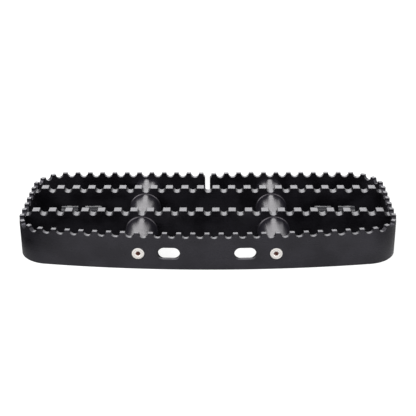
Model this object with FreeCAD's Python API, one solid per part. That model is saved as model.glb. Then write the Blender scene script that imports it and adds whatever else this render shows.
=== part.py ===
"""Motorcycle floorboard: a toothed band bent round two toothed tread bars, held by tie rods.

Millimetres, +X along the board, -Y the outer front wall, +Z up, z = 0 at the band's bottom edge.
"""

import FreeCAD, Part
import math
import os

from FreeCAD import Vector

# Overall size of the board, over the outer faces of the band
board_length = 350.0
board_depth = 145.0
board_height = 36.0

# Band: one strip bent to the board's plan, its two ends facing each other at the back
band_thickness = 4.0
bow_radius = 1000.0
front_corner_radius = 30.0
back_corner_radius = 34.0
seam_x = -1.2
seam_gap = 4.4
left_seam_set = 2.0
right_seam_set = 3.5
bottom_edge_break = 0.5

# Teeth: round gullets cut into the top edges
gullet_width = 8.1
gullet_depth = 4.6
rim_tooth_pitch = 12.7
bar_tooth_pitch = 15.4

# Tread bars, placed by their middles behind the band's front face
bar_thickness = 8.5
bar_rise = 1.0
front_bar_setback = 53.0
rear_bar_setback = 106.0
bar_end_clearance = 0.1

# Cross members: a tie rod through round spacers, on the line of the band's screws
cross_member_x = 62.4
cross_member_z = 15.4
collar_radius = 15.35
collar_flare = 0.6
collar_land = 0.3
rod_diameter = 10.0
rod_clearance = 0.2
seat_clearance = 0.02

# Countersunk screws that draw the band onto the tie rods
screw_diameter = 6.0
screw_length = 16.0
screw_head_diameter = 11.3
screw_head_rim = 0.4
screw_sink = 0.45
screw_socket = 4.0
screw_socket_depth = 2.3
screw_clearance = 0.15
tapped_depth = 15.0

# Slots in the front wall
slot_x = 34.5
slot_z = 16.2
slot_length = 19.9
slot_width = 11.4

# Hinge brackets on the front bar's rear face: a low flange, a foot and two knuckles
bracket_inset = 52.2
bracket_thickness = 4.0
bracket_bend_radius = 3.0
bracket_rise = 1.0
flange_top = 22.0
flange_corner_radius = 4.0
foot_hole_diameter = 6.6
foot_hole_setback = 12.8
knuckle_width = 16.0
knuckle_gap = 6.8
knuckle_radius = 5.5
knuckle_setback = 24.2
knuckle_z = 20.6
pivot_diameter = 6.4

# Low cap screws, two through each flange into the front bar
flange_screw_diameter = 5.0
flange_screw_reach = 6.0
tapped_run_out = 1.0
flange_head_diameter = 8.5
flange_head_height = 3.5
flange_head_break = 0.4
flange_socket = 3.0
flange_socket_depth = 2.0

# How far cutting shapes run past the faces that they cut
overrun = 2.0

half_length = board_length / 2
front_y = -board_depth / 2
back_y = board_depth / 2
front_bar_y = front_y + front_bar_setback
rear_bar_y = front_y + rear_bar_setback
spacer_radius = collar_radius - collar_flare
seam_set_end = cross_member_x - collar_radius
bracket_x = half_length - bracket_inset
bow_centre_y = front_y + bow_radius
bracket_width = 2 * knuckle_width + knuckle_gap
flange_seat_y = front_bar_y + bar_thickness / 2 + seat_clearance
bend_top = bracket_rise + bracket_thickness + bracket_bend_radius
flange_screw_z = (bend_top + flange_top) / 2
knuckle_y = flange_seat_y + knuckle_setback


def arc(centre_x, centre_y, radius, start_angle, end_angle):
    """Arc in the plan, from one angle to the other, in radians from +X."""
    angles = (start_angle, (start_angle + end_angle) / 2, end_angle)
    points = [Vector(centre_x + radius * math.cos(a), centre_y + radius * math.sin(a), 0) for a in angles]
    return Part.Arc(*points).toShape()


def line(start, end):
    return Part.LineSegment(start, end).toShape()


def half_wall(inset, seam_set, seam_end):
    """Edges of half the band in the plan, inset from its outer face.

    They run on the right from the front middle to the seam, where the band springs in by the seam's set.
    """
    corner_x = half_length - front_corner_radius
    centres_apart = bow_radius - front_corner_radius
    corner_y = bow_centre_y - math.sqrt(centres_apart**2 - corner_x**2)
    bow_end = math.asin(corner_x / centres_apart) - math.pi / 2
    back_corner_x = half_length - back_corner_radius
    back_corner_y = back_y - back_corner_radius
    seam_run = seam_set_end - seam_end
    seam_radius = (seam_run**2 + seam_set**2) / (2 * seam_set)
    seam_turn = math.asin(seam_run / seam_radius)
    end_x = half_length - inset
    face_y = back_y - inset
    return [
        arc(0, bow_centre_y, bow_radius - inset, -math.pi / 2, bow_end),
        arc(corner_x, corner_y, front_corner_radius - inset, bow_end, 0),
        line(Vector(end_x, corner_y, 0), Vector(end_x, back_corner_y, 0)),
        arc(back_corner_x, back_corner_y, back_corner_radius - inset, 0, math.pi / 2),
        line(Vector(back_corner_x, face_y, 0), Vector(seam_set_end, face_y, 0)),
        arc(seam_set_end, back_y - seam_radius, seam_radius - inset, math.pi / 2, math.pi / 2 + seam_turn),
    ]


def wall_end(edges):
    last = edges[-1]
    return last.valueAt(last.LastParameter)


def mirrored(shape):
    return shape.mirror(Vector(0, 0, 0), Vector(1, 0, 0))


def right_wall(inset):
    return half_wall(inset, right_seam_set, seam_gap / 2 + seam_x)


def left_wall_mirrored(inset):
    """The left half as it looks in a mirror, so on the right."""
    return half_wall(inset, left_seam_set, seam_gap / 2 - seam_x)


def left_wall(inset):
    return [mirrored(edge) for edge in left_wall_mirrored(inset)]


def face_of(edges):
    return Part.Face(Part.Wire(Part.__sortEdges__(edges)))


def interior(clearance):
    """Space inside the band, kept clear of its inner face by a clearance."""
    inset = band_thickness + clearance
    right = right_wall(inset)
    left = left_wall(inset)
    across_seam = line(wall_end(right), wall_end(left))
    return face_of(right + left + [across_seam]).extrude(Vector(0, 0, board_height))


def gullet(length):
    """Cutter for one gullet: round-floored, along Y through the origin, its mouth at the tooth tops."""
    radius = gullet_width / 2
    floor_centre = board_height - gullet_depth + radius
    top = board_height + overrun
    left_top = Vector(-radius, -length / 2, top)
    right_top = Vector(radius, -length / 2, top)
    left_foot = Vector(-radius, -length / 2, floor_centre)
    right_foot = Vector(radius, -length / 2, floor_centre)
    floor = Vector(0, -length / 2, floor_centre - radius)
    edges = [
        line(left_top, left_foot),
        Part.Arc(left_foot, floor, right_foot).toShape(),
        line(right_foot, right_top),
        line(right_top, left_top),
    ]
    return face_of(edges).extrude(Vector(0, length, 0))


def station(edges, distance):
    """Point and direction of travel at a distance along connected edges, straight on past the last one."""
    for edge in edges:
        if distance <= edge.Length:
            parameter = edge.getParameterByLength(distance)
            return edge.valueAt(parameter), edge.tangentAt(parameter)
        distance -= edge.Length
    direction = edges[-1].tangentAt(edges[-1].LastParameter)
    return wall_end(edges) + direction * distance, direction


def rim_gullets(middle):
    """Gullets along half the band's middle line, from a tooth at the front to a gullet in the seam."""
    run = sum(edge.Length for edge in middle) + seam_gap / 2
    whole_teeth = round(run / rim_tooth_pitch - 0.5)
    pitch = run / (whole_teeth + 0.5)
    cutter = gullet(band_thickness + 2 * overrun)
    cutters = []
    for index in range(whole_teeth + 1):
        point, direction = station(middle, (index + 0.5) * pitch)
        heading = math.degrees(math.atan2(direction.y, direction.x))
        placed = cutter.copy()
        placed.rotate(Vector(0, 0, 0), Vector(0, 0, 1), heading)
        placed.translate(point)
        cutters.append(placed)
    return cutters


def wall_face_y(x, inset):
    """Where the bowed front wall lies at a place along the board."""
    return bow_centre_y - math.sqrt((bow_radius - inset) ** 2 - x**2)


def along_y(radius, start_y, end_y, x, z):
    return Part.makeCylinder(radius, end_y - start_y, Vector(x, start_y, z), Vector(0, 1, 0))


def turned(profile, x, z):
    """Solid turned about an axis along Y, from the corners (radius, y) of half its section."""
    points = [Vector(radius, y, 0) for radius, y in profile]
    edges = [line(a, b) for a, b in zip(points, points[1:] + points[:1])]
    solid = face_of(edges).revolve(Vector(0, 0, 0), Vector(0, 1, 0), 360)
    solid.translate(Vector(x, 0, z))
    return solid


def hexagon(across_flats, depth):
    """Six-sided socket cutter along +Y, from y = 0."""
    corner = across_flats / math.sqrt(3)
    angles = [math.radians(60 * index) for index in range(7)]
    points = [Vector(corner * math.cos(a), 0, corner * math.sin(a)) for a in angles]
    return Part.Face(Part.makePolygon(points)).extrude(Vector(0, depth, 0))


def countersunk_screw(x, z):
    """Screw with its head towards -Y, its rim at y = 0."""
    head = screw_head_diameter / 2
    shank = screw_diameter / 2
    cone_end = screw_head_rim + head - shank
    outline = [(0, 0), (head, 0), (head, screw_head_rim), (shank, cone_end)]
    profile = outline + [(shank, screw_length), (0, screw_length)]
    screw = turned(profile, 0, 0).cut(hexagon(screw_socket, screw_socket_depth))
    screw.translate(Vector(x, 0, z))
    return screw


def screw_seat(x, z):
    """Cutter for a countersunk screw and its clearance, opening towards -Y."""
    head = screw_head_diameter / 2 + screw_clearance
    shank = screw_diameter / 2 + screw_clearance
    cone_end = screw_head_rim + head - shank
    length = band_thickness + 2 * overrun
    outline = [(0, -overrun), (head, -overrun), (head, screw_head_rim), (shank, cone_end)]
    profile = outline + [(shank, length), (0, length)]
    return turned(profile, x, z)


def front_screw_y(x):
    return wall_face_y(x, 0) + screw_sink


def placed_at_front(shape, x):
    shape.translate(Vector(0, front_screw_y(x), 0))
    return shape


def placed_at_back(shape):
    """Turned to face the back, its rim sunk below the band's straight back face."""
    flipped = shape.mirror(Vector(0, 0, 0), Vector(0, 1, 0))
    flipped.translate(Vector(0, back_y - screw_sink, 0))
    return flipped


def wall_slot(x):
    """Cutter for one round-ended slot of the front wall."""
    radius = slot_width / 2
    reach = slot_length / 2 - radius
    start = front_y - overrun
    end = wall_face_y(x + slot_length, band_thickness) + overrun
    block = Part.makeBox(2 * reach, end - start, slot_width, Vector(x - reach, start, slot_z - radius))
    ends = [along_y(radius, start, end, x + side * reach, slot_z) for side in (-1, 1)]
    return block.multiFuse(ends).removeSplitter()


def rim_band():
    right_outer = right_wall(0)
    right_inner = right_wall(band_thickness)
    left_outer = left_wall(0)
    left_inner = left_wall(band_thickness)
    right_end = line(wall_end(right_outer), wall_end(right_inner))
    left_end = line(wall_end(left_outer), wall_end(left_inner))
    outline = right_outer + [right_end] + right_inner + left_outer + [left_end] + left_inner
    strip = face_of(outline).extrude(Vector(0, 0, board_height))
    bottom_edges = [edge for edge in strip.Edges if edge.BoundBox.ZMax < bottom_edge_break]
    strip = strip.makeChamfer(bottom_edge_break, bottom_edges)
    cutters = rim_gullets(right_wall(band_thickness / 2))
    cutters += [mirrored(cutter) for cutter in rim_gullets(left_wall_mirrored(band_thickness / 2))]
    for side in (-1, 1):
        x = side * cross_member_x
        cutters.append(placed_at_front(screw_seat(x, cross_member_z), x))
        cutters.append(placed_at_back(screw_seat(x, cross_member_z)))
        cutters.append(wall_slot(side * slot_x))
    return strip.cut(cutters)


def tread_bar(middle_y):
    """Bar with a gullet in its middle, running to the band's end walls."""
    block = Part.makeBox(
        board_length,
        bar_thickness,
        board_height - bar_rise,
        Vector(-half_length, middle_y - bar_thickness / 2, bar_rise),
    )
    reach = math.floor((half_length + gullet_width / 2) / bar_tooth_pitch)
    cutter = gullet(bar_thickness + 2 * overrun)
    places = [index * bar_tooth_pitch for index in range(-reach, reach + 1)]
    cutters = [cutter.translated(Vector(x, middle_y, 0)) for x in places]
    for side in (-1, 1):
        bore_radius = rod_diameter / 2 + rod_clearance
        start = middle_y - bar_thickness
        end = middle_y + bar_thickness
        cutters.append(along_y(bore_radius, start, end, side * cross_member_x, cross_member_z))
    return block.cut(cutters).common(interior(bar_end_clearance))


def collar(end_y, inward):
    """Corners of a spacer's flared collar, from a bar's face inward along Y."""
    return [
        (collar_radius, end_y),
        (collar_radius, end_y + inward * collar_land),
        (spacer_radius, end_y + inward * (collar_land + collar_flare)),
    ]


def spacer(x, start_y, end_y, outline):
    """Round spacer with the outline given from its start to its end, bored for the tie rod."""
    bore = rod_diameter / 2 + rod_clearance
    profile = [(bore, start_y)] + outline + [(bore, end_y)]
    return turned(profile, x, cross_member_z).common(interior(seat_clearance))


def spacers(side):
    """Front, middle and rear spacer of one cross member, plain at the band and collared at the bars."""
    x = side * cross_member_x
    reach = bar_thickness / 2 + seat_clearance
    front_wall = wall_face_y(cross_member_x - collar_radius, band_thickness)
    back_wall = back_y - band_thickness
    front_end = front_bar_y - reach
    middle_start = front_bar_y + reach
    middle_end = rear_bar_y - reach
    rear_start = rear_bar_y + reach
    front = [(spacer_radius, front_wall)] + collar(front_end, -1)[::-1]
    middle = collar(middle_start, 1) + collar(middle_end, -1)[::-1]
    rear = collar(rear_start, 1) + [(spacer_radius, back_wall)]
    return {
        "front": spacer(x, front_wall, front_end, front),
        "middle": spacer(x, middle_start, middle_end, middle),
        "rear": spacer(x, rear_start, back_wall, rear),
    }


def tie_rod(side):
    """Rod from wall to wall, tapped at both ends for the countersunk screws."""
    x = side * cross_member_x
    rod = along_y(rod_diameter / 2, front_y, back_y, x, cross_member_z).common(interior(seat_clearance))
    thread = screw_diameter / 2 + seat_clearance
    front_hole_end = wall_face_y(x, band_thickness) + tapped_depth
    back_hole_end = back_y - band_thickness - tapped_depth
    front_hole = along_y(thread, front_y, front_hole_end, x, cross_member_z)
    back_hole = along_y(thread, back_hole_end, back_y, x, cross_member_z)
    return rod.cut([front_hole, back_hole])


def knuckle_middles(side):
    """Where one bracket's inner and outer knuckle stand along the board."""
    step = (knuckle_width + knuckle_gap) / 2
    return {"inner": side * (bracket_x - step), "outer": side * (bracket_x + step)}


def along_x(radius, start_x, length, y, z):
    return Part.makeCylinder(radius, length, Vector(start_x, y, z), Vector(1, 0, 0))


def knuckle(x):
    """Upright lug with a round crest along the board."""
    start_x = x - knuckle_width / 2
    corner = Vector(start_x, knuckle_y - knuckle_radius, bracket_rise)
    post = Part.makeBox(knuckle_width, 2 * knuckle_radius, knuckle_z - bracket_rise, corner)
    return post.fuse(along_x(knuckle_radius, start_x, knuckle_width, knuckle_y, knuckle_z))


def folded_plate(side):
    """Flange up the front bar's rear face and a foot as far as the knuckles' rear faces."""
    start_x = side * bracket_x - bracket_width / 2
    inner = bracket_bend_radius
    outer = bracket_bend_radius + bracket_thickness
    flange_face_y = flange_seat_y + bracket_thickness
    bend_y = flange_seat_y + outer
    foot_y = knuckle_y + knuckle_radius
    quarter = math.sqrt(0.5)

    def at(y, z):
        return Vector(start_x, y, z)

    edges = [
        line(at(foot_y, bracket_rise), at(bend_y, bracket_rise)),
        Part.Arc(
            at(bend_y, bracket_rise),
            at(bend_y - outer * quarter, bend_top - outer * quarter),
            at(flange_seat_y, bend_top),
        ).toShape(),
        line(at(flange_seat_y, bend_top), at(flange_seat_y, flange_top)),
        line(at(flange_seat_y, flange_top), at(flange_face_y, flange_top)),
        line(at(flange_face_y, flange_top), at(flange_face_y, bend_top)),
        Part.Arc(
            at(flange_face_y, bend_top),
            at(bend_y - inner * quarter, bend_top - inner * quarter),
            at(bend_y, bend_top - inner),
        ).toShape(),
        line(at(bend_y, bend_top - inner), at(foot_y, bend_top - inner)),
        line(at(foot_y, bend_top - inner), at(foot_y, bracket_rise)),
    ]
    plate = face_of(edges).extrude(Vector(bracket_width, 0, 0))
    corners = [
        edge
        for edge in plate.Edges
        if edge.BoundBox.ZMin > flange_top - seat_clearance and edge.BoundBox.YLength > bracket_thickness / 2
    ]
    return plate.makeFillet(flange_corner_radius, corners)


def mount_bracket(side):
    """Folded plate with two knuckles, a pivot bore through both, and holes in its flange and foot."""
    start_x = side * bracket_x - bracket_width / 2
    middles = knuckle_middles(side).values()
    pivot_start = start_x - overrun
    cutters = [along_x(pivot_diameter / 2, pivot_start, bracket_width + 2 * overrun, knuckle_y, knuckle_z)]
    flange_hole = flange_screw_diameter / 2 + screw_clearance
    flange_face_y = flange_seat_y + bracket_thickness
    for x in middles:
        foot_hole = Vector(x, flange_seat_y + foot_hole_setback, bracket_rise - overrun)
        cutters.append(Part.makeCylinder(foot_hole_diameter / 2, bracket_thickness + 2 * overrun, foot_hole))
        start_y = flange_seat_y - overrun
        cutters.append(along_y(flange_hole, start_y, flange_face_y + overrun, x, flange_screw_z))
    solid = folded_plate(side).multiFuse([knuckle(x) for x in middles])
    return solid.cut(cutters).removeSplitter()


def flange_screw(x):
    """Low cap screw with its head on the flange's rear face."""
    head_y = flange_seat_y + bracket_thickness + seat_clearance
    head = flange_head_diameter / 2
    shank = flange_screw_diameter / 2
    length = bracket_thickness + flange_screw_reach
    profile = [
        (0, -flange_head_height),
        (head - flange_head_break, -flange_head_height),
        (head, flange_head_break - flange_head_height),
        (head, 0),
        (shank, 0),
        (shank, length),
        (0, length),
    ]
    socket = hexagon(flange_socket, flange_socket_depth).translated(Vector(0, -flange_head_height, 0))
    screw = turned(profile, 0, 0).cut(socket).mirror(Vector(0, 0, 0), Vector(0, 1, 0))
    return screw.translated(Vector(x, head_y, flange_screw_z))


def front_bar_with_tapped_holes():
    """The front bar, with blind tapped holes for the brackets' screws."""
    rear_face = front_bar_y + bar_thickness / 2
    hole_end = rear_face - flange_screw_reach - tapped_run_out
    radius = flange_screw_diameter / 2 + seat_clearance
    holes = []
    for side in (-1, 1):
        for x in knuckle_middles(side).values():
            holes.append(along_y(radius, hole_end, rear_face + overrun, x, flange_screw_z))
    return tread_bar(front_bar_y).cut(holes)


def floorboard():
    """Every piece of the board by its name."""
    pieces = {
        "rim_band": rim_band(),
        "front_tread_bar": front_bar_with_tapped_holes(),
        "rear_tread_bar": tread_bar(rear_bar_y),
    }
    for name, side in (("left", -1), ("right", 1)):
        x = side * cross_member_x
        for place, shape in spacers(side).items():
            pieces[f"{name}_{place}_spacer"] = shape
        pieces[f"{name}_tie_rod"] = tie_rod(side)
        pieces[f"{name}_front_screw"] = placed_at_front(countersunk_screw(x, cross_member_z), x)
        pieces[f"{name}_rear_screw"] = placed_at_back(countersunk_screw(x, cross_member_z))
        pieces[f"{name}_mount_bracket"] = mount_bracket(side)
        for place, screw_x in knuckle_middles(side).items():
            pieces[f"{name}_{place}_bracket_screw"] = flange_screw(screw_x)
    return pieces


os.makedirs("parts", exist_ok=True)
for piece_name, piece in floorboard().items():
    piece.exportStep(f"parts/{piece_name}.step")
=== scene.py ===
"""Looks of a motorcycle floorboard: a black toothed band, two toothed tread bars on round spacers,
bright countersunk screws and hinge brackets, on a white studio floor."""

import math

import bmesh
import bpy
from mathutils import Matrix, Vector


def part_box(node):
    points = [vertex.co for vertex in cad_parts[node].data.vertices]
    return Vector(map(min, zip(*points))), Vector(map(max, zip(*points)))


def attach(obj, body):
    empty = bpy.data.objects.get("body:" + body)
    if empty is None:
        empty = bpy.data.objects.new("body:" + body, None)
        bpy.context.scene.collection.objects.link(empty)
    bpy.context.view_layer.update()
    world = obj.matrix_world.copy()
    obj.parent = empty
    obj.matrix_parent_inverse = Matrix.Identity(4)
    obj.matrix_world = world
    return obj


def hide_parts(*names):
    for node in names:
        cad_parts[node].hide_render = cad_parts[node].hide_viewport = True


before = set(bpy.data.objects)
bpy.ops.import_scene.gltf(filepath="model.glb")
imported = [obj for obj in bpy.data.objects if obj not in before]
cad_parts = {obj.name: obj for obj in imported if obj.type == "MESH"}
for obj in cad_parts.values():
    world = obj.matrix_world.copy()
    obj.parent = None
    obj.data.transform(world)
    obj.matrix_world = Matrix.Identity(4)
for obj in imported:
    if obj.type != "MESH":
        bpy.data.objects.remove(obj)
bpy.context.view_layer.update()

# Sizes are millimetres unless a comment says metres, which is Blender's unit
MM = 0.001

# The board's outer faces, and where its back wall begins to turn in towards the seam, from the frame
band_low, band_high = (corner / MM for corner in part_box("rim_band"))
half_length = band_high.x
front_y = band_low.y
back_y = band_high.y
board_height = band_high.z
seam_set_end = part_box("right_front_spacer")[0].x / MM

# Band: one strip bent to the board's plan, its two ends facing each other at the back
band_thickness = 4.0
bow_radius = 1000.0
front_corner_radius = 30.0
back_corner_radius = 34.0
seam_x = -1.2
seam_gap = 4.4
left_seam_set = 2.0
right_seam_set = 3.5
band_foot_break = 0.5

# Teeth: round gullets in the top edges, with eased edges that catch the light
gullet_width = 8.1
gullet_depth = 4.6
rim_tooth_pitch = 12.7
bar_tooth_pitch = 15.4
rim_tooth_corner = 0.4
bar_tooth_corner = 0.8
edge_ease = 0.3
bar_foot_break = 0.6

# Mesh of a tooth: its steps, a narrow guard row that keeps the flats flat beside an eased edge, and the
# drop from the gullets to the row of points that runs along the wall
ease_steps = 3
corner_steps = 4
gullet_steps = 16
edge_guard = 0.04
wall_row_drop = 1.6

# Cross members and the screws on their line
cross_member_x = 62.4
cross_member_z = 15.4
rod_bore = 10.4
screw_diameter = 6.0
screw_length = 16.0
screw_head_diameter = 11.3
screw_head_rim = 0.4
screw_head_ease = 0.25
screw_sink = 0.45
screw_socket = 4.0
screw_socket_depth = 2.3
screw_drill_tip = screw_socket / math.sqrt(3) / 8
screw_clearance = 0.15

# Slots of the front wall
slot_x = 34.5
slot_z = 16.2
slot_length = 19.9
slot_width = 11.4
slot_edge_break = 0.4

# Low cap screws of the brackets, and the brackets' eased edges
cap_socket = 3.0
cap_socket_depth = 2.0
cap_drill_tip = cap_socket / 4
cap_head_height = 3.5
cap_ease = 0.4
cap_socket_chamfer = cap_ease / 2
cap_shank = 5.0
cap_hole_depth = 7.0
hole_clearance = 0.02
plate_ease = 0.3

# Hexagon sockets: how often the drill's radius and its tip's height go into the socket's size, and how
# many rings of faces take the socket's finish, from the tip up to the chamfer
socket_drill = 2.2
socket_tip = 4
socket_rings = 3

# Mesh fineness: path and turned steps, welding distance, how far cutters run past a face, segments of
# an eased edge, and the angles up to which faces are one flat and past which an edge is sharp
path_step = 1.0
turned_steps = 48
weld = 0.005
overrun = 2.0
bevel_segments = 2
flat_angle = math.radians(0.5)
sharp_angle = math.radians(35)

# Camera: at the photograph's angle, its place in millimetres and its turns in degrees
eye = Vector((11.798, -847.353, 420.745))
eye_elevation = 24.845
eye_yaw = 0.792
eye_roll = -0.332
focal_pixels = 970.533
image_pixels = 416
sensor_width = 36.0

# Studio floor, in metres: its half size, and the reach left and right of the board's middle across which
# its tone in mirrors changes, each tone with its share of the way from left to right. The tones are painted
# shade and light that every ray but the camera's sees: dark past the left end, dim past the right end
floor_half = 6.0
floor_reach = 0.24
floor_painted_shade_tones = [
    (0.08, "#303030"),
    (0.2, "#D4D4D4"),
    (0.75, "#D4D4D4"),
    (0.84, "#E4E4E4"),
    (0.95, "#848484"),
]

# Shade under the board in mirrors: the share of light left in it, the distances in metres from the board's
# long middle line where it starts to fade and ends, and how its outline rounds off, by a power of x
shade_light = 0.3
shade_start = 0.058
shade_end = 0.07
outline_factor = 35.0
outline_power = 4.0

# The floor's paper and glow to the camera, and the surround's strength as a fill and as seen
floor_paper = "#8C8C8C"
floor_glow = 0.85
fill_strength = 0.3
white_strength = 1.0

# Softboxes, all aimed at the board: place, width and height in metres, and brightness per area
softboxes = {
    "back_softbox": ((-0.12, 1.5, 0.78), 1.36, 1.0, 3.4),
    "back_right_softbox": ((0.95, 1.3, 0.55), 0.8, 0.8, 1.5),
    "left_softbox": ((-1.0, -0.45, 0.75), 1.0, 1.0, 5.0),
    "top_softbox": ((0.1, -0.75, 1.6), 1.2, 0.9, 1.6),
    "key_softbox": ((1.0, -0.9, 0.95), 0.8, 0.8, 6.0),
}


def linear(hex_colour):
    """Linear RGBA of an sRGB hex colour."""
    channels = [int(hex_colour[i : i + 2], 16) / 255 for i in (1, 3, 5)]
    return [c / 12.92 if c <= 0.04045 else ((c + 0.055) / 1.055) ** 2.4 for c in channels] + [1.0]


def add(tree, kind, inputs=None, stops=(), **settings):
    """A new node with its settings, and with a ramp's rising stops as (position, hex colour).

    An input takes a value, an output to link, or a list of outputs.
    """
    made = tree.nodes.new(kind)
    for name, value in settings.items():
        setattr(made, name, value)
    for i, (position, colour) in enumerate(stops):
        if i == len(made.color_ramp.elements):
            made.color_ramp.elements.new(1.0)
        made.color_ramp.elements[i].position = position
        made.color_ramp.elements[i].color = linear(colour)
    for key, value in (inputs or {}).items():
        several = isinstance(value, list) and isinstance(value[0], bpy.types.NodeSocket)
        for item in value if several else [value]:
            if isinstance(item, bpy.types.NodeSocket):
                tree.links.new(item, made.inputs[key])
            else:
                made.inputs[key].default_value = item
    return made


def every(size):
    """Scale of a pattern whose features are a size in millimetres, in features to the metre."""
    return 1 / (size * MM)


def new_material(name):
    """Material with an empty node tree, and that tree."""
    material = bpy.data.materials.new(name)
    material.use_nodes = True
    material.node_tree.nodes.clear()
    return material, material.node_tree


def black_anodised_strip():
    """Rolled aluminium strip, blasted and black anodised.

    It gives the eye a deep, faintly bluish black satin that turns pale where it mirrors the studio, with
    a faint lengthwise grain from rolling and a fine blasted tooth.
    """
    material, tree = new_material("black_anodised_strip")
    place = add(tree, "ShaderNodeTexCoord").outputs["Object"]
    along = add(tree, "ShaderNodeAttribute", attribute_name="strip").outputs["Vector"]
    # Rolling grain: 40 mm long and 1.1 mm across, drawn coarser than the real 0.1 mm so that it shows
    rolled = (every(40.0), every(1.1), every(1.1))
    stretched = add(tree, "ShaderNodeMapping", {"Vector": along, "Scale": rolled})
    grain = add(tree, "ShaderNodeTexNoise", {"Vector": stretched.outputs[0], "Scale": 1.0, "Detail": 3.0})
    # Uneven dye: soft patches about 25 mm across
    patches = add(tree, "ShaderNodeTexNoise", {"Vector": place, "Scale": every(25.0), "Detail": 2.0})
    # Blasted tooth: 0.7 mm, drawn coarser than the real 0.1 mm so that it shows
    tooth = add(tree, "ShaderNodeTexNoise", {"Vector": place, "Scale": every(0.7), "Detail": 2.0})
    dye_stops = [(0.4, "#0A090C"), (0.6, "#18171B")]
    dye = add(tree, "ShaderNodeValToRGB", {"Fac": patches.outputs["Fac"]}, dye_stops)
    mixed = add(tree, "ShaderNodeMath", {0: grain.outputs["Fac"], 1: tooth.outputs["Fac"]}, operation="ADD")
    rough = add(
        tree,
        "ShaderNodeMapRange",
        {"Value": mixed.outputs[0], "From Min": 0.6, "From Max": 1.4, "To Min": 0.24, "To Max": 0.36},
    )
    bump = add(
        tree, "ShaderNodeBump", {"Height": mixed.outputs[0], "Strength": 0.25, "Distance": 0.02 * MM}
    )
    shader = add(
        tree,
        "ShaderNodeBsdfPrincipled",
        {
            "Base Color": dye.outputs["Color"],
            "Roughness": rough.outputs["Result"],
            "Normal": bump.outputs["Normal"],
            "Metallic": 0.0,
            "IOR": 1.5,
            "Specular Tint": linear("#F5F2FF"),
        },
    )
    add(tree, "ShaderNodeOutputMaterial", {"Surface": shader.outputs[0]})
    return material


def black_anodised_turned():
    """Turned aluminium tube, black anodised.

    It gives the eye the strip's bluish black satin, with the lathe's fine rings drawing the light into a
    soft streak along the crest.
    """
    material, tree = new_material("black_anodised_turned")
    place = add(tree, "ShaderNodeTexCoord").outputs["Object"]
    # Lathe rings: 0.8 mm apart along the tube, drawn coarser than the real 0.15 mm so that they show
    turned = (every(50.0), every(0.8), every(50.0))
    squeezed = add(tree, "ShaderNodeMapping", {"Vector": place, "Scale": turned})
    rings = add(tree, "ShaderNodeTexNoise", {"Vector": squeezed.outputs[0], "Scale": 1.0, "Detail": 2.0})
    # Uneven dye: soft patches about 11 mm across
    patches = add(tree, "ShaderNodeTexNoise", {"Vector": place, "Scale": every(11.0), "Detail": 2.0})
    dye_stops = [(0.3, "#121117"), (0.7, "#18171D")]
    dye = add(tree, "ShaderNodeValToRGB", {"Fac": patches.outputs["Fac"]}, dye_stops)
    rough = add(
        tree,
        "ShaderNodeMapRange",
        {"Value": rings.outputs["Fac"], "From Min": 0.3, "From Max": 0.7, "To Min": 0.32, "To Max": 0.42},
    )
    bump = add(
        tree, "ShaderNodeBump", {"Height": rings.outputs["Fac"], "Strength": 0.2, "Distance": 0.02 * MM}
    )
    shader = add(
        tree,
        "ShaderNodeBsdfPrincipled",
        {
            "Base Color": dye.outputs["Color"],
            "Roughness": rough.outputs["Result"],
            "Normal": bump.outputs["Normal"],
            "Metallic": 0.0,
            "IOR": 1.5,
            "Specular Tint": linear("#FFF7FF"),
        },
    )
    add(tree, "ShaderNodeOutputMaterial", {"Surface": shader.outputs[0]})
    return material


def turned_stainless():
    """Stainless steel screw, turned and tumbled.

    It gives the eye a nearly white head that mirrors the studio, with faint rings round its socket.
    """
    material, tree = new_material("turned_stainless")
    radius = add(tree, "ShaderNodeAttribute", attribute_name="radius").outputs["Fac"]
    # Turning rings: 0.7 mm apart, drawn coarser than the real 0.1 mm so that they show
    spaced = add(tree, "ShaderNodeMath", {0: radius, 1: every(0.7)}, operation="MULTIPLY")
    rings = add(tree, "ShaderNodeTexNoise", {"W": spaced.outputs[0], "Scale": 1.0}, noise_dimensions="1D")
    tint_stops = [(0.25, "#F2EBE6"), (0.75, "#FFFDFA")]
    tint = add(tree, "ShaderNodeValToRGB", {"Fac": rings.outputs["Fac"]}, tint_stops)
    rough = add(
        tree,
        "ShaderNodeMapRange",
        {"Value": rings.outputs["Fac"], "From Min": 0.3, "From Max": 0.7, "To Min": 0.22, "To Max": 0.34},
    )
    bump = add(
        tree, "ShaderNodeBump", {"Height": rings.outputs["Fac"], "Strength": 0.15, "Distance": 0.02 * MM}
    )
    shader = add(
        tree,
        "ShaderNodeBsdfPrincipled",
        {
            "Base Color": tint.outputs["Color"],
            "Roughness": rough.outputs["Result"],
            "Normal": bump.outputs["Normal"],
            "Metallic": 1.0,
        },
    )
    add(tree, "ShaderNodeOutputMaterial", {"Surface": shader.outputs[0]})
    return material


def painted_shade_socket():
    """Broached socket, its faces in a warm dark brown instead of the head's bright steel: painted shade in
    the recess, so it reads as a small warm dark hole.
    """
    material, tree = new_material("painted_shade_socket")
    place = add(tree, "ShaderNodeTexCoord").outputs["Object"]
    # Uneven dabs about 1 mm across in the painted shade
    dabs = add(tree, "ShaderNodeTexNoise", {"Vector": place, "Scale": every(1.0), "Detail": 3.0})
    socket_shade_stops = [(0.35, "#4A2A22"), (0.7, "#945644")]
    socket_shade = add(tree, "ShaderNodeValToRGB", {"Fac": dabs.outputs["Fac"]}, socket_shade_stops)
    bump = add(
        tree, "ShaderNodeBump", {"Height": dabs.outputs["Fac"], "Strength": 0.4, "Distance": 0.1 * MM}
    )
    shader = add(
        tree,
        "ShaderNodeBsdfPrincipled",
        {"Base Color": socket_shade.outputs["Color"], "Roughness": 0.45, "Normal": bump.outputs["Normal"]},
    )
    add(tree, "ShaderNodeOutputMaterial", {"Surface": shader.outputs[0]})
    return material


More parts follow.
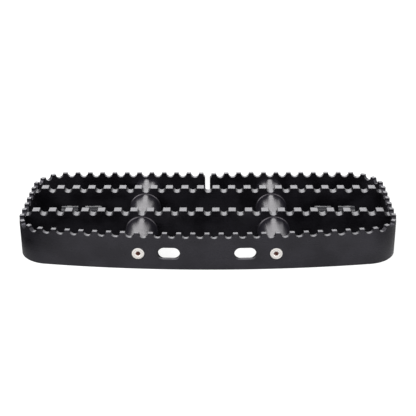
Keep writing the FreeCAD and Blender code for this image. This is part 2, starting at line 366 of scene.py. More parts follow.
def black_anodised_plate():
    """Machined aluminium hinge bracket, black anodised without blasting.

    It gives the eye a slightly greyer, smoother black than the strips, with faint cloudy dye.
    """
    material, tree = new_material("black_anodised_plate")
    place = add(tree, "ShaderNodeTexCoord").outputs["Object"]
    # Cloudy dye: patches about 8 mm across
    clouds = add(tree, "ShaderNodeTexNoise", {"Vector": place, "Scale": every(8.0), "Detail": 3.0})
    # Mill grain: 20 mm long and 0.8 mm across, drawn coarser than the real 0.1 mm so that it shows
    milled = (every(20.0), every(0.8), every(0.8))
    stretched = add(tree, "ShaderNodeMapping", {"Vector": place, "Scale": milled})
    grain = add(tree, "ShaderNodeTexNoise", {"Vector": stretched.outputs[0], "Scale": 1.0, "Detail": 2.0})
    dye_stops = [(0.3, "#141419"), (0.7, "#1B1B21")]
    dye = add(tree, "ShaderNodeValToRGB", {"Fac": clouds.outputs["Fac"]}, dye_stops)
    rough = add(
        tree,
        "ShaderNodeMapRange",
        {"Value": grain.outputs["Fac"], "From Min": 0.3, "From Max": 0.7, "To Min": 0.2, "To Max": 0.28},
    )
    bump = add(
        tree, "ShaderNodeBump", {"Height": grain.outputs["Fac"], "Strength": 0.2, "Distance": 0.02 * MM}
    )
    shader = add(
        tree,
        "ShaderNodeBsdfPrincipled",
        {
            "Base Color": dye.outputs["Color"],
            "Roughness": rough.outputs["Result"],
            "Normal": bump.outputs["Normal"],
            "Metallic": 0.0,
            "IOR": 1.5,
            "Specular IOR Level": 0.35,
        },
    )
    add(tree, "ShaderNodeOutputMaterial", {"Surface": shader.outputs[0]})
    return material


def black_oxide_cap_screw():
    """Cap screw steel with a black oxide, a thin dark film that leaves a brownish metal sheen."""
    material, tree = new_material("black_oxide_cap_screw")
    place = add(tree, "ShaderNodeTexCoord").outputs["Object"]
    # Oxide: blotches about 2 mm across
    blotches = add(tree, "ShaderNodeTexNoise", {"Vector": place, "Scale": every(2.0), "Detail": 3.0})
    film_stops = [(0.3, "#2B2927"), (0.7, "#3C3835")]
    film = add(tree, "ShaderNodeValToRGB", {"Fac": blotches.outputs["Fac"]}, film_stops)
    rough = add(
        tree,
        "ShaderNodeMapRange",
        {"Value": blotches.outputs["Fac"], "From Min": 0.3, "From Max": 0.7, "To Min": 0.3, "To Max": 0.45},
    )
    shader = add(
        tree,
        "ShaderNodeBsdfPrincipled",
        {"Base Color": film.outputs["Color"], "Roughness": rough.outputs["Result"], "Metallic": 1.0},
    )
    add(tree, "ShaderNodeOutputMaterial", {"Surface": shader.outputs[0]})
    return material


def drawn_steel_rod():
    """Bright drawn steel rod, with long fine scratches from the die."""
    material, tree = new_material("drawn_steel_rod")
    place = add(tree, "ShaderNodeTexCoord").outputs["Object"]
    # Die scratches: 30 mm long and 0.5 mm across, drawn coarser than the real 0.05 mm so that they show
    drawn = (every(0.5), every(30.0), every(0.5))
    stretched = add(tree, "ShaderNodeMapping", {"Vector": place, "Scale": drawn})
    scratches = add(
        tree, "ShaderNodeTexNoise", {"Vector": stretched.outputs[0], "Scale": 1.0, "Detail": 2.0}
    )
    tint_stops = [(0.0, "#9C9894"), (1.0, "#C9C5C0")]
    tint = add(tree, "ShaderNodeValToRGB", {"Fac": scratches.outputs["Fac"]}, tint_stops)
    shader = add(
        tree,
        "ShaderNodeBsdfPrincipled",
        {"Base Color": tint.outputs["Color"], "Roughness": 0.3, "Metallic": 1.0},
    )
    add(tree, "ShaderNodeOutputMaterial", {"Surface": shader.outputs[0]})
    return material


def linked(name, mesh):
    """Object of a mesh, in the scene."""
    made = bpy.data.objects.new(name, mesh)
    bpy.context.scene.collection.objects.link(made)
    return made


def evaluated(host):
    """Plain mesh of an object with its modifiers, less a tree's empty first material slot.

    The object itself is removed.
    """
    depsgraph = bpy.context.evaluated_depsgraph_get()
    mesh = bpy.data.meshes.new_from_object(host.evaluated_get(depsgraph), depsgraph=depsgraph)
    bpy.data.objects.remove(host)
    if len(mesh.materials) > 1 and mesh.materials[0] is None:
        mesh.materials.pop(index=0)
    return mesh


def smooth(mesh):
    """The mesh, shaded smooth up to its sharp edges."""
    mesh.shade_smooth()
    mesh.set_sharp_from_angle(angle=sharp_angle)
    return mesh


def piece(name, mesh, nodes):
    """A finished piece that rides on the board and stands for its CAD nodes."""
    made = linked(name, mesh)
    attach(made, "root")
    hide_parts(*nodes)
    return made


def loft(name, loops, cap_start=True, cap_end=True):
    """Mesh of quads between closed loops of points in millimetres, all with as many points."""
    build = bmesh.new()
    rings = [[build.verts.new(Vector(point) * MM) for point in loop] for loop in loops]
    for ring, following in zip(rings, rings[1:]):
        for i in range(len(ring)):
            j = (i + 1) % len(ring)
            build.faces.new((ring[i], ring[j], following[j], following[i]))
    if cap_start:
        build.faces.new(rings[0])
    if cap_end:
        build.faces.new(rings[-1])
    bmesh.ops.recalc_face_normals(build, faces=build.faces)
    mesh = bpy.data.meshes.new(name)
    build.to_mesh(mesh)
    build.free()
    return mesh


def toothed_edge(pitch, length, corner):
    """Samples (s, z, normal s, normal z) of the toothed edge, from a tooth's middle as far as length."""
    radius = gullet_width / 2
    middle = pitch / 2
    flat = middle - radius - corner
    low_z = board_height - gullet_depth + radius
    falling = [(0.0, board_height, 0.0, 1.0), (flat / 2, board_height, 0.0, 1.0)]
    for i in range(corner_steps + 1):
        turn = math.pi / 2 * i / corner_steps
        sine, cosine = math.sin(turn), math.cos(turn)
        falling.append((flat + corner * sine, board_height - corner + corner * cosine, sine, cosine))
    for i in range(gullet_steps // 2):
        turn = math.pi * i / gullet_steps
        sine, cosine = math.sin(turn), math.cos(turn)
        falling.append((middle - radius * cosine, low_z - radius * sine, cosine, sine))
    rising = [(pitch - s, z, -normal_s, normal_z) for s, z, normal_s, normal_z in reversed(falling)]
    samples = falling + [(middle, low_z - radius, 0.0, 1.0)] + rising
    kept = [sample for sample in samples if sample[0] < length - weld]
    across = (middle - length) / radius
    end_z = low_z - radius * math.sqrt(max(0.0, 1 - across**2)) if length < pitch else board_height
    return kept + [(length, end_z, 0.0, 1.0)]


def eased_top(half):
    """Steps (inset, t) over the top edge of a strip, from its outer wall to its inner wall."""
    steps = [(edge_ease + edge_guard, half)]
    for i in range(ease_steps + 1):
        turn = math.pi / 2 * (1 - i / ease_steps)
        steps.append((edge_ease * (1 - math.cos(turn)), half - edge_ease + edge_ease * math.sin(turn)))
    steps.append((0.0, half - edge_ease - edge_guard))
    return steps + [(inset, -t) for inset, t in reversed(steps)]


def strip_cell(name, pitch, length, size, capped=False, turned_round=False):
    """Stretch of straight toothed strip from a tooth's middle, along X, its outer wall towards +Y.

    Its size is thickness, bottom, foot break and tooth corner.
    """
    thickness, bottom, foot_break, corner = size
    half = thickness / 2
    wall_row = board_height - gullet_depth - wall_row_drop
    edge = toothed_edge(pitch, length, corner)
    loops = []
    for index, (s, z, normal_s, normal_z) in enumerate(edge):
        even_s = length * index / (len(edge) - 1)
        wall = [(half - foot_break, bottom), (half, bottom + foot_break), (half, wall_row)]
        outer = [(even_s, t, height) for t, height in wall]
        top = [(s - inset * normal_s, t, z - inset * normal_z) for inset, t in eased_top(half)]
        inner = [(even_s, -t, height) for t, height in reversed(wall)]
        loops.append(outer + top + inner)
    if turned_round:
        loops = [[(length - s, t, z) for s, t, z in loop] for loop in reversed(loops)]
    cap_start = capped and turned_round
    cap_end = capped and not turned_round
    return linked(name, loft(name, loops, cap_start, cap_end))


def group_tree(name, inputs):
    """Empty Geometry Nodes tree with named inputs, and its outputs by name."""
    tree = bpy.data.node_groups.new(name, "GeometryNodeTree")
    for socket_name, kind in inputs.items():
        tree.interface.new_socket(socket_name, in_out="INPUT", socket_type="NodeSocket" + kind)
    tree.interface.new_socket("Geometry", in_out="OUTPUT", socket_type="NodeSocketGeometry")
    return tree, add(tree, "NodeGroupInput").outputs


def grown(host, tree, values):
    """Plain mesh of a host object put through a tree with these input values."""
    modifier = host.modifiers.new(tree.name, "NODES")
    modifier.node_group = tree
    for item in tree.interface.items_tree:
        if item.in_out == "INPUT" and item.name in values:
            modifier[item.identifier] = values[item.name]
    return evaluated(host)


def strip_tree():
    """Tooth cells laid end to end between two end cells, then bent along a path."""
    inputs = {"Path": "Geometry", "Start Cell": "Object", "Tooth Cell": "Object", "End Cell": "Object"}
    inputs |= {"Start Length": "Float", "Pitch": "Float", "Cells": "Int", "Weld": "Float"}
    inputs |= {"Finish": "Material"}
    tree, given = group_tree("toothed_strip", inputs)
    first = add(tree, "ShaderNodeCombineXYZ", {"X": given["Start Length"]}).outputs[0]
    step = add(tree, "ShaderNodeCombineXYZ", {"X": given["Pitch"]}).outputs[0]
    spots = add(
        tree,
        "GeometryNodeMeshLine",
        {"Count": given["Cells"], "Start Location": first, "Offset": step},
        mode="OFFSET",
    )
    cell = add(tree, "GeometryNodeObjectInfo", {"Object": given["Tooth Cell"]}).outputs["Geometry"]
    teeth = add(tree, "GeometryNodeInstanceOnPoints", {"Points": spots.outputs[0], "Instance": cell})
    run = add(
        tree,
        "ShaderNodeMath",
        {0: given["Pitch"], 1: given["Cells"], 2: given["Start Length"]},
        operation="MULTIPLY_ADD",
    )
    far = add(tree, "ShaderNodeCombineXYZ", {"X": run.outputs[0]}).outputs[0]
    end_cell = add(tree, "GeometryNodeObjectInfo", {"Object": given["End Cell"]}).outputs["Geometry"]
    end = add(tree, "GeometryNodeTransform", {"Geometry": end_cell, "Translation": far}).outputs[0]
    start = add(tree, "GeometryNodeObjectInfo", {"Object": given["Start Cell"]}).outputs["Geometry"]
    laid = add(tree, "GeometryNodeJoinGeometry", {"Geometry": [start, teeth.outputs[0], end]})
    solid = add(tree, "GeometryNodeRealizeInstances", {"Geometry": laid.outputs[0]})
    welded = add(
        tree, "GeometryNodeMergeByDistance", {"Geometry": solid.outputs[0], "Distance": given["Weld"]}
    )
    flat_place = add(tree, "GeometryNodeInputPosition").outputs[0]
    marked = add(
        tree,
        "GeometryNodeStoreNamedAttribute",
        {"Geometry": welded.outputs[0], "Name": "strip", "Value": flat_place},
        data_type="FLOAT_VECTOR",
        domain="POINT",
    )
    parts = add(tree, "ShaderNodeSeparateXYZ", {0: flat_place}).outputs
    curve = add(tree, "GeometryNodeMeshToCurve", {"Mesh": given["Path"]}).outputs[0]
    on_path = add(
        tree, "GeometryNodeSampleCurve", {"Curves": curve, "Length": parts["X"]}, mode="LENGTH"
    ).outputs
    outward = add(
        tree, "ShaderNodeVectorMath", {0: on_path["Tangent"], 1: (0.0, 0.0, 1.0)}, operation="CROSS_PRODUCT"
    ).outputs[0]
    aside = add(
        tree, "ShaderNodeVectorMath", {0: outward, "Scale": parts["Y"]}, operation="SCALE"
    ).outputs[0]
    up = add(tree, "ShaderNodeCombineXYZ", {"Z": parts["Z"]}).outputs[0]
    lifted = add(tree, "ShaderNodeVectorMath", {0: aside, 1: up}, operation="ADD").outputs[0]
    bent_place = add(
        tree, "ShaderNodeVectorMath", {0: on_path["Position"], 1: lifted}, operation="ADD"
    ).outputs[0]
    bent = add(tree, "GeometryNodeSetPosition", {"Geometry": marked.outputs[0], "Position": bent_place})
    finished = add(
        tree, "GeometryNodeSetMaterial", {"Geometry": bent.outputs[0], "Material": given["Finish"]}
    )
    add(tree, "NodeGroupOutput", {0: finished.outputs[0]})
    return tree


def screw_tree():
    """One screw at each point of a mesh, its head towards -Y, or towards +Y behind a given depth."""
    inputs = {"Points": "Geometry", "Screw": "Object", "Finish": "Material", "Socket Finish": "Material"}
    tree, given = group_tree("screws_at_points", inputs | {"Turned Behind": "Float"})
    place = add(tree, "GeometryNodeInputPosition").outputs[0]
    depth = add(tree, "ShaderNodeSeparateXYZ", {0: place}).outputs["Y"]
    behind = add(
        tree, "FunctionNodeCompare", {"A": depth, "B": given["Turned Behind"]}, operation="GREATER_THAN"
    ).outputs[0]
    angle = add(tree, "ShaderNodeMath", {0: behind, 1: math.pi}, operation="MULTIPLY").outputs[0]
    turn = add(tree, "ShaderNodeCombineXYZ", {"Z": angle}).outputs[0]
    screw = add(tree, "GeometryNodeObjectInfo", {"Object": given["Screw"]}).outputs["Geometry"]
    set_in = add(
        tree,
        "GeometryNodeInstanceOnPoints",
        {"Points": given["Points"], "Instance": screw, "Rotation": turn},
    )
    solid = add(tree, "GeometryNodeRealizeInstances", {"Geometry": set_in.outputs[0]})
    steel = add(
        tree, "GeometryNodeSetMaterial", {"Geometry": solid.outputs[0], "Material": given["Finish"]}
    )
    socket = add(
        tree, "GeometryNodeInputNamedAttribute", {"Name": "socket"}, data_type="BOOLEAN"
    ).outputs[0]
    finished = add(
        tree,
        "GeometryNodeSetMaterial",
        {"Geometry": steel.outputs[0], "Selection": socket, "Material": given["Socket Finish"]},
    )
    add(tree, "NodeGroupOutput", {0: finished.outputs[0]})
    return tree


def arc(centre_x, centre_y, radius, start_angle, end_angle):
    """Points along an arc in the plan, about a path step apart."""
    steps = math.ceil(abs(end_angle - start_angle) * radius / path_step)
    angles = [start_angle + (end_angle - start_angle) * i / steps for i in range(steps + 1)]
    return [Vector((centre_x + radius * math.cos(a), centre_y + radius * math.sin(a), 0)) for a in angles]


def half_band_path(seam_set, seam_end):
    """Middle line of half the band, on the right, from the front middle to the seam."""
    inset = band_thickness / 2
    bow_centre_y = front_y + bow_radius
    corner_x = half_length - front_corner_radius
    centres_apart = bow_radius - front_corner_radius
    corner_y = bow_centre_y - math.sqrt(centres_apart**2 - corner_x**2)
    bow_end = math.asin(corner_x / centres_apart) - math.pi / 2
    back_x = half_length - back_corner_radius
    back_corner_y = back_y - back_corner_radius
    seam_run = seam_set_end - seam_end
    seam_radius = (seam_run**2 + seam_set**2) / (2 * seam_set)
    seam_turn = math.asin(seam_run / seam_radius)
    quarter = math.pi / 2
    bow = arc(0, bow_centre_y, bow_radius - inset, -quarter, bow_end)
    corner = arc(corner_x, corner_y, front_corner_radius - inset, bow_end, 0)
    back_corner = arc(back_x, back_corner_y, back_corner_radius - inset, 0, quarter)
    seam = arc(seam_set_end, back_y - seam_radius, seam_radius - inset, quarter, quarter + seam_turn)
    return bow + corner[1:] + back_corner + seam


def path_mesh(name, points):
    """Object with edges from point to point, given in millimetres."""
    mesh = bpy.data.meshes.new(name)
    mesh.from_pydata([point * MM for point in points], [(i, i + 1) for i in range(len(points) - 1)], [])
    return linked(name, mesh)


def path_length(points):
    """Length of the path from point to point."""
    return sum((b - a).length for a, b in zip(points, points[1:]))


def half_band(name, points, tree, finish):
    """Half the band: whole tooth cells from the front middle, and a last one cut by the seam."""
    run = path_length(points) + seam_gap / 2
    cells = round(run / rim_tooth_pitch - 0.5)
    pitch = run / (cells + 0.5)
    size = (band_thickness, 0.0, band_foot_break, rim_tooth_corner)
    tooth_cell = strip_cell(name + "_cell", pitch, pitch, size)
    end_cell = strip_cell(name + "_end", pitch, (pitch - seam_gap) / 2, size, capped=True)
    values = {"Tooth Cell": tooth_cell, "End Cell": end_cell, "Start Length": 0.0, "Pitch": pitch * MM}
    values |= {"Cells": cells, "Weld": weld * MM, "Finish": finish}
    mesh = grown(path_mesh(name, points), tree, values)
    bpy.data.objects.remove(tooth_cell)
    bpy.data.objects.remove(end_cell)
    return mesh


def welded(meshes, name):
    """One mesh of several, with doubles merged and faces outwards."""
    build = bmesh.new()
    for mesh in meshes:
        build.from_mesh(mesh)
    bmesh.ops.remove_doubles(build, verts=build.verts, dist=weld * MM)
    bmesh.ops.recalc_face_normals(build, faces=build.faces)
    joined = bpy.data.meshes.new(name)
    build.to_mesh(joined)
    build.free()
    joined.materials.append(meshes[0].materials[0])
    return joined


def cut(mesh, cutters):
    """Mesh with closed cutter meshes taken out of it."""
    host = linked("uncut", mesh)
    tools = []
    for cutter in cutters:
        tool = linked("cutter", cutter)
        modifier = host.modifiers.new("cut", "BOOLEAN")
        modifier.operation = "DIFFERENCE"
        modifier.solver = "EXACT"
        modifier.object = tool
        tools.append(tool)
    made = evaluated(host)
    for tool in tools:
        bpy.data.objects.remove(tool)
    return made


def circle(radius, y):
    """Closed loop round the Y axis."""
    angles = [2 * math.pi * i / turned_steps for i in range(turned_steps)]
    return [(radius * math.cos(a), y, radius * math.sin(a)) for a in angles]


def hexagon(across_flats, y):
    """Closed loop on a hexagon round the Y axis, with a corner at angle 0."""
    loop = []
    for i in range(turned_steps):
        angle = 2 * math.pi * i / turned_steps
        from_flat = angle % (math.pi / 3) - math.pi / 6
        radius = across_flats / 2 / math.cos(from_flat)
        loop.append((radius * math.cos(angle), y, radius * math.sin(angle)))
    return loop


def turned_cutter(profile, x, y, z, facing):
    """Closed mesh turned about an axis along Y, from (radius, depth) steps; facing is -1 or 1 along Y."""
    mesh = loft("cutter", [circle(radius, -facing * depth) for radius, depth in profile])
    mesh.transform(Matrix.Translation(Vector((x, y, z)) * MM))
    return mesh


def wall_y(x):
    """Where the bowed front wall's outer face lies at a place along the board."""
    return front_y + bow_radius - math.sqrt(bow_radius**2 - x**2)


def seat_cutter(x, y, facing):
    """Countersunk seat of a screw through the band's wall."""
    head = screw_head_diameter / 2 + screw_clearance
    shank = screw_diameter / 2 + screw_clearance
    cone_end = screw_head_rim + head - shank
    profile = [(head, -overrun), (head, screw_head_rim), (shank, cone_end)]
    profile.append((shank, band_thickness + overrun))
    return turned_cutter(profile, x, y, cross_member_z, facing)


def slot_cutter(x):
    """Round-ended slot square to the bowed wall, with both edges broken."""
    radius = slot_width / 2
    reach = slot_length / 2 - radius

    def outline(grow, depth):
        loop = []
        for i in range(turned_steps):
            angle = 2 * math.pi * (i + 0.5) / turned_steps
            side = math.copysign(reach, math.cos(angle))
            across = (radius + grow) * math.cos(angle)
            loop.append((side + across, depth, (radius + grow) * math.sin(angle)))
        return loop

    past = overrun / 2
    steps = [
        (slot_edge_break + past, -past),
        (0.0, slot_edge_break),
        (0.0, band_thickness - slot_edge_break),
        (slot_edge_break + past, band_thickness + past),
    ]
    mesh = loft("cutter", [outline(grow, depth) for grow, depth in steps])
    turn = Matrix.Rotation(math.asin(x / bow_radius), 4, "Z")
    mesh.transform(Matrix.Translation(Vector((x, wall_y(x), slot_z)) * MM) @ turn)
    return mesh


def toothed_rim(tree, finish):
    """The band: both halves welded at the front middle, with its seats and slots cut."""
    right = half_band_path(right_seam_set, seam_gap / 2 + seam_x)
    left = half_band_path(left_seam_set, seam_gap / 2 - seam_x)
    left = [Vector((-point.x, point.y, 0)) for point in left]
    halves = [half_band("right_half", right, tree, finish), half_band("left_half", left, tree, finish)]
    cutters = []
    for side in (-1, 1):
        x = side * cross_member_x
        cutters.append(seat_cutter(x, wall_y(x) + screw_sink, -1))
        cutters.append(seat_cutter(x, back_y - screw_sink, 1))
        cutters.append(slot_cutter(side * slot_x))
    mesh = smooth(cut(welded(halves, "toothed_rim"), cutters))
    return piece("toothed_rim", mesh, ["rim_band"])


def tapped_holes(bar_node, screw_nodes):
    """Cutters for the blind holes of a bar's rear face that take these screws."""
    face_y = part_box(bar_node)[1].y / MM
    profile = [(cap_shank / 2 + hole_clearance, -overrun), (cap_shank / 2 + hole_clearance, cap_hole_depth)]
    cutters = []
    for node in screw_nodes:
        middle = (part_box(node)[0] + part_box(node)[1]) / 2 / MM
        cutters.append(turned_cutter(profile, middle.x, face_y, middle.z, 1))
    return cutters


def tread(node, name, tree, finish, holes):
    """Straight bar of whole tooth cells, with a gullet in its middle and both ends cut by the band."""
    low, high = (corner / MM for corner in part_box(node))
    thickness = high.y - low.y
    pitch = bar_tooth_pitch
    cells = 2 * math.floor(high.x / pitch - 0.5) + 1
    end_length = high.x - cells * pitch / 2
    size = (thickness, low.z, bar_foot_break, bar_tooth_corner)
    start_cell = strip_cell(name + "_start", pitch, end_length, size, capped=True, turned_round=True)
    tooth_cell = strip_cell(name + "_cell", pitch, pitch, size)
    end_cell = strip_cell(name + "_end", pitch, end_length, size, capped=True)
    middle_y = (low.y + high.y) / 2
    ends = [Vector((low.x, middle_y, 0)), Vector((high.x, middle_y, 0))]
    values = {"Start Cell": start_cell, "Tooth Cell": tooth_cell, "End Cell": end_cell}
    values |= {"Start Length": end_length * MM, "Pitch": pitch * MM, "Cells": cells, "Weld": weld * MM}
    mesh = grown(path_mesh(name + "_path", ends), tree, values | {"Finish": finish})
    for used in (start_cell, tooth_cell, end_cell):
        bpy.data.objects.remove(used)
    bore = [(rod_bore / 2, -overrun), (rod_bore / 2, thickness + overrun)]
    bores = [turned_cutter(bore, side * cross_member_x, low.y, cross_member_z, -1) for side in (-1, 1)]
    mesh = smooth(cut(welded([mesh], name), bores + holes))
    return piece(name, mesh, [node])


def socket_loops(size, depth, tip_radius, chamfer):
    """Loops of a drilled hexagon socket in a head's face, from the drill's tip to the chamfered mouth."""
    return [
        circle(tip_radius, depth + size / socket_tip),
        circle(size / socket_drill, depth),
        hexagon(size, depth),
        hexagon(size, chamfer),
        circle(size / math.sqrt(3) + chamfer, 0.0),
    ]


def countersunk_screw():
    """Source of the countersunk screws: head towards -Y with its face at y = 0."""
    head = screw_head_diameter / 2
    shank = screw_diameter / 2
    cone_end = screw_head_rim + head - shank
    rounding = screw_head_ease / 4
    point = screw_head_ease * 2
    socket = socket_loops(screw_socket, screw_socket_depth, screw_drill_tip, screw_head_ease)
    outside = [
        circle(head - screw_head_ease, 0.0),
        circle(head - rounding, rounding),
        circle(head, screw_head_ease),
        circle(head, screw_head_rim),
        circle(shank, cone_end),
        circle(shank, screw_length - point),
        circle(shank - point, screw_length),
    ]
    return screw_source("countersunk_screw", socket + outside)


def screw_source(name, loops):
    """Screw object from its loops, with each point's radius, and its socket's faces marked."""
    mesh = smooth(loft(name, loops))
    radius = mesh.attributes.new("radius", "FLOAT", "POINT")
    for vertex, value in zip(mesh.vertices, radius.data):
        value.value = math.hypot(vertex.co.x, vertex.co.z)
    socket = mesh.attributes.new("socket", "BOOLEAN", "FACE")
    start_cap = len(mesh.polygons) - 2
    for index, value in enumerate(socket.data):
        value.value = index < socket_rings * turned_steps or index == start_cap
    return linked(name, mesh)


def band_screws(tree, finish, socket_material):
    """Countersunk screws of the front and back walls, on the cross members' lines."""
    points = []
    for side in (-1, 1):
        x = side * cross_member_x
        points.append(Vector((x, wall_y(x) + screw_sink, cross_member_z)))
        points.append(Vector((x, back_y - screw_sink, cross_member_z)))
    source = countersunk_screw()
    values = {"Screw": source, "Finish": finish, "Socket Finish": socket_material, "Turned Behind": 0.0}
    mesh = grown(path_mesh("screw_points", points), tree, values)
    bpy.data.objects.remove(source)
    nodes = [f"{side}_{end}_screw" for side in ("left", "right") for end in ("front", "rear")]
    return piece("band_screws", mesh, nodes)


def bracket_screws(nodes, tree, finish, socket_material):
    """Low cap screws of the brackets, from the frame's sizes, with an eased head and a hexagon socket."""
    low, high = (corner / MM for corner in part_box(nodes[0]))
    head = (high.x - low.x) / 2
    shank = cap_shank / 2
    length = high.y - low.y
    rounding = cap_ease / 3
    points = []
    for node in nodes:
        node_low, node_high = (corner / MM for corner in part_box(node))
        points.append(Vector(((node_low.x + node_high.x) / 2, high.y, (low.z + high.z) / 2)))
    socket = socket_loops(cap_socket, cap_socket_depth, cap_drill_tip, cap_socket_chamfer)
    outside = [
        circle(head - cap_ease, 0.0),
        circle(head - rounding, rounding),
        circle(head, cap_ease),
        circle(head, cap_head_height),
        circle(shank, cap_head_height),
        circle(shank, length - cap_ease),
        circle(shank - cap_ease, length),
    ]
    source = screw_source("cap_screw", socket + outside)
    values = {"Screw": source, "Finish": finish, "Socket Finish": socket_material}
    values["Turned Behind"] = front_y * MM
    mesh = grown(path_mesh("cap_points", points), tree, values)
    bpy.data.objects.remove(source)
    return piece("bracket_screws", mesh, nodes)


def welded_copy(node, name, ease, finish):
    """Copy of a CAD node, with welded triangles, whole flat faces, and edges eased by a width or sharp."""
    build = bmesh.new()
    build.from_mesh(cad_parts[node].data)
    bmesh.ops.remove_doubles(build, verts=build.verts, dist=weld * MM)
    bmesh.ops.dissolve_limit(build, angle_limit=flat_angle, verts=build.verts, edges=build.edges)
    mesh = bpy.data.meshes.new(name)
    build.to_mesh(mesh)
    build.free()
    for attribute in list(mesh.attributes):
        if attribute.name.startswith("custom_normal"):
            mesh.attributes.remove(attribute)
    host = linked(name + "_host", mesh)
    if ease:
        bevel = host.modifiers.new("eased edges", "BEVEL")
        bevel.width = ease * MM
        bevel.segments = bevel_segments
        bevel.limit_method = "ANGLE"
        bevel.angle_limit = sharp_angle
        bevel.use_clamp_overlap = True
    made = smooth(evaluated(host))
    made.materials.clear()
    made.materials.append(finish)
    return made


strip_finish = black_anodised_strip()
turned_finish = black_anodised_turned()
steel_finish = turned_stainless()
# The band screws' sockets take a warm dark brown of painted shade
socket_material = painted_shade_socket()
plate_finish = black_anodised_plate()
oxide_finish = black_oxide_cap_screw()
rod_finish = drawn_steel_rod()

cap_places = [(side, place) for side in ("left", "right") for place in ("inner", "outer")]
cap_screw_nodes = [f"{side}_{place}_bracket_screw" for side, place in cap_places]

strips = strip_tree()
toothed_rim(strips, strip_finish)
front_holes = tapped_holes("front_tread_bar", cap_screw_nodes)
tread("front_tread_bar", "front_tread", strips, strip_finish, front_holes)
tread("rear_tread_bar", "rear_tread", strips, strip_finish, [])

screws = screw_tree()
band_screws(screws, steel_finish, socket_material)
bracket_screws(cap_screw_nodes, screws, oxide_finish, oxide_finish)

for side in ("left", "right"):
    for place in ("front", "middle", "rear"):
        node = f"{side}_{place}_spacer"
        tube = welded_copy(node, f"{side}_{place}_tube", 0.0, turned_finish)
        piece(f"{side}_{place}_tube", tube, [node])
    bracket = f"{side}_mount_bracket"
    hinge = welded_copy(bracket, f"{side}_hinge_bracket", plate_ease, plate_finish)
    piece(f"{side}_hinge_bracket", hinge, [bracket])
    # The tie rods stay as they are in the frame, hidden in the tubes, and take a finish only
    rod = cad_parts[f"{side}_tie_rod"]
    rod.data.materials.clear()
    rod.data.materials.append(rod_finish)


def studio_floor():
    """White floor with a soft shadow under the board. In mirrors it is darker there and past the ends,
    where shade is painted into its colour.
    """
    mesh = bpy.data.meshes.new("studio_floor")
    signs = [(-1, -1), (1, -1), (1, 1), (-1, 1)]
    mesh.from_pydata([(x * floor_half, y * floor_half, 0) for x, y in signs], [], [(0, 1, 2, 3)])
    material, tree = new_material("white_studio_floor")
    path = add(tree, "ShaderNodeLightPath").outputs
    place = add(tree, "ShaderNodeTexCoord").outputs["Object"]
    parts = add(tree, "ShaderNodeSeparateXYZ", {0: place}).outputs
    spread = add(
        tree,
        "ShaderNodeMapRange",
        {"Value": parts["X"], "From Min": -floor_reach, "From Max": floor_reach},
    )
    # Painted shade and light along the floor, darkest past the board's left end, for every ray but the
    # camera's
    painted_floor_shade = add(tree, "ShaderNodeValToRGB", {"Fac": spread.outputs["Result"]}, floor_painted_shade_tones)
    # Distance from the board's long middle line, which grows towards the ends as the outline rounds off
    drawn_in = add(tree, "ShaderNodeMath", {0: parts["X"], 1: outline_power}, operation="POWER")
    aside = add(tree, "ShaderNodeMath", {0: parts["Y"]}, operation="ABSOLUTE")
    bowed = add(
        tree,
        "ShaderNodeMath",
        {0: drawn_in.outputs[0], 1: outline_factor, 2: aside.outputs[0]},
        operation="MULTIPLY_ADD",
    )
    open_sky = add(
        tree,
        "ShaderNodeMapRange",
        {"Value": bowed.outputs[0], "From Min": shade_start, "From Max": shade_end, "To Min": shade_light},
    )
    shaded = add(
        tree,
        "ShaderNodeVectorMath",
        {0: painted_floor_shade.outputs["Color"], "Scale": open_sky.outputs["Result"]},
        operation="SCALE",
    )
    plain = add(tree, "ShaderNodeBsdfDiffuse", {"Color": shaded.outputs[0]})
    shade = add(tree, "ShaderNodeBsdfDiffuse", {"Color": linear(floor_paper)})
    glow = add(tree, "ShaderNodeEmission", {"Color": linear("#FFFFFF"), "Strength": floor_glow})
    bright = add(tree, "ShaderNodeAddShader", {0: shade.outputs[0], 1: glow.outputs[0]})
    mix = add(
        tree, "ShaderNodeMixShader", {0: path["Is Camera Ray"], 1: plain.outputs[0], 2: bright.outputs[0]}
    )
    add(tree, "ShaderNodeOutputMaterial", {"Surface": mix.outputs[0]})
    mesh.materials.append(material)
    linked("studio_floor", mesh)


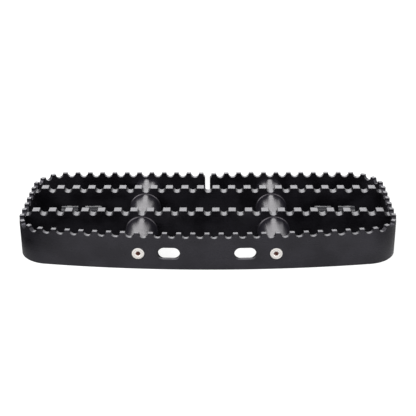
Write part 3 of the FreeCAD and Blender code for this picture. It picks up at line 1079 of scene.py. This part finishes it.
def studio_world():
    """White surround that camera and mirrors see, and a softer fill for the rest."""
    world = bpy.data.worlds.new("white_studio")
    world.use_nodes = True
    tree = world.node_tree
    tree.nodes.clear()
    path = add(tree, "ShaderNodeLightPath").outputs
    seen = add(
        tree, "ShaderNodeMath", {0: path["Is Camera Ray"], 1: path["Is Glossy Ray"]}, operation="MAXIMUM"
    )
    shown = add(
        tree, "ShaderNodeMath", {0: seen.outputs[0], 1: path["Is Transmission Ray"]}, operation="MAXIMUM"
    )
    fill = add(tree, "ShaderNodeBackground", {"Color": linear("#FFFFFF"), "Strength": fill_strength})
    white = add(tree, "ShaderNodeBackground", {"Color": linear("#FFFFFF"), "Strength": white_strength})
    mix = add(tree, "ShaderNodeMixShader", {0: shown.outputs[0], 1: fill.outputs[0], 2: white.outputs[0]})
    add(tree, "ShaderNodeOutputWorld", {"Surface": mix.outputs[0]})
    bpy.context.scene.world = world


def softbox(name, place, width, height, radiance):
    """Area lamp of a given brightness per area, aimed at the frame's origin, in metres."""
    light = bpy.data.lights.new(name, "AREA")
    light.shape = "RECTANGLE"
    light.size = width
    light.size_y = height
    light.energy = radiance * math.pi * width * height
    lamp = bpy.data.objects.new(name, light)
    lamp.location = place
    lamp.rotation_euler = (-Vector(place)).to_track_quat("-Z", "Y").to_euler()
    lamp.visible_camera = False
    bpy.context.scene.collection.objects.link(lamp)


def studio_camera():
    """Camera at the photograph's place, with its turns and its focal length."""
    elevation, yaw, roll = (math.radians(a) for a in (eye_elevation, eye_yaw, eye_roll))
    back = Vector(
        (math.sin(yaw) * math.cos(elevation), -math.cos(yaw) * math.cos(elevation), math.sin(elevation))
    )
    right = Vector((math.cos(yaw), math.sin(yaw), 0))
    up = back.cross(right)
    rolled_right = right * math.cos(roll) + up * math.sin(roll)
    rolled_up = up * math.cos(roll) - right * math.sin(roll)
    data = bpy.data.cameras.new("photo_camera")
    data.sensor_width = sensor_width
    data.lens = focal_pixels / image_pixels * sensor_width
    camera = bpy.data.objects.new("photo_camera", data)
    turn = Matrix((rolled_right, rolled_up, back)).transposed().to_4x4()
    camera.matrix_world = Matrix.Translation(eye * MM) @ turn
    bpy.context.scene.collection.objects.link(camera)
    bpy.context.scene.camera = camera


studio_floor()
studio_world()
for name, settings in softboxes.items():
    softbox(name, *settings)
studio_camera()
bpy.context.scene.view_settings.view_transform = "Standard"
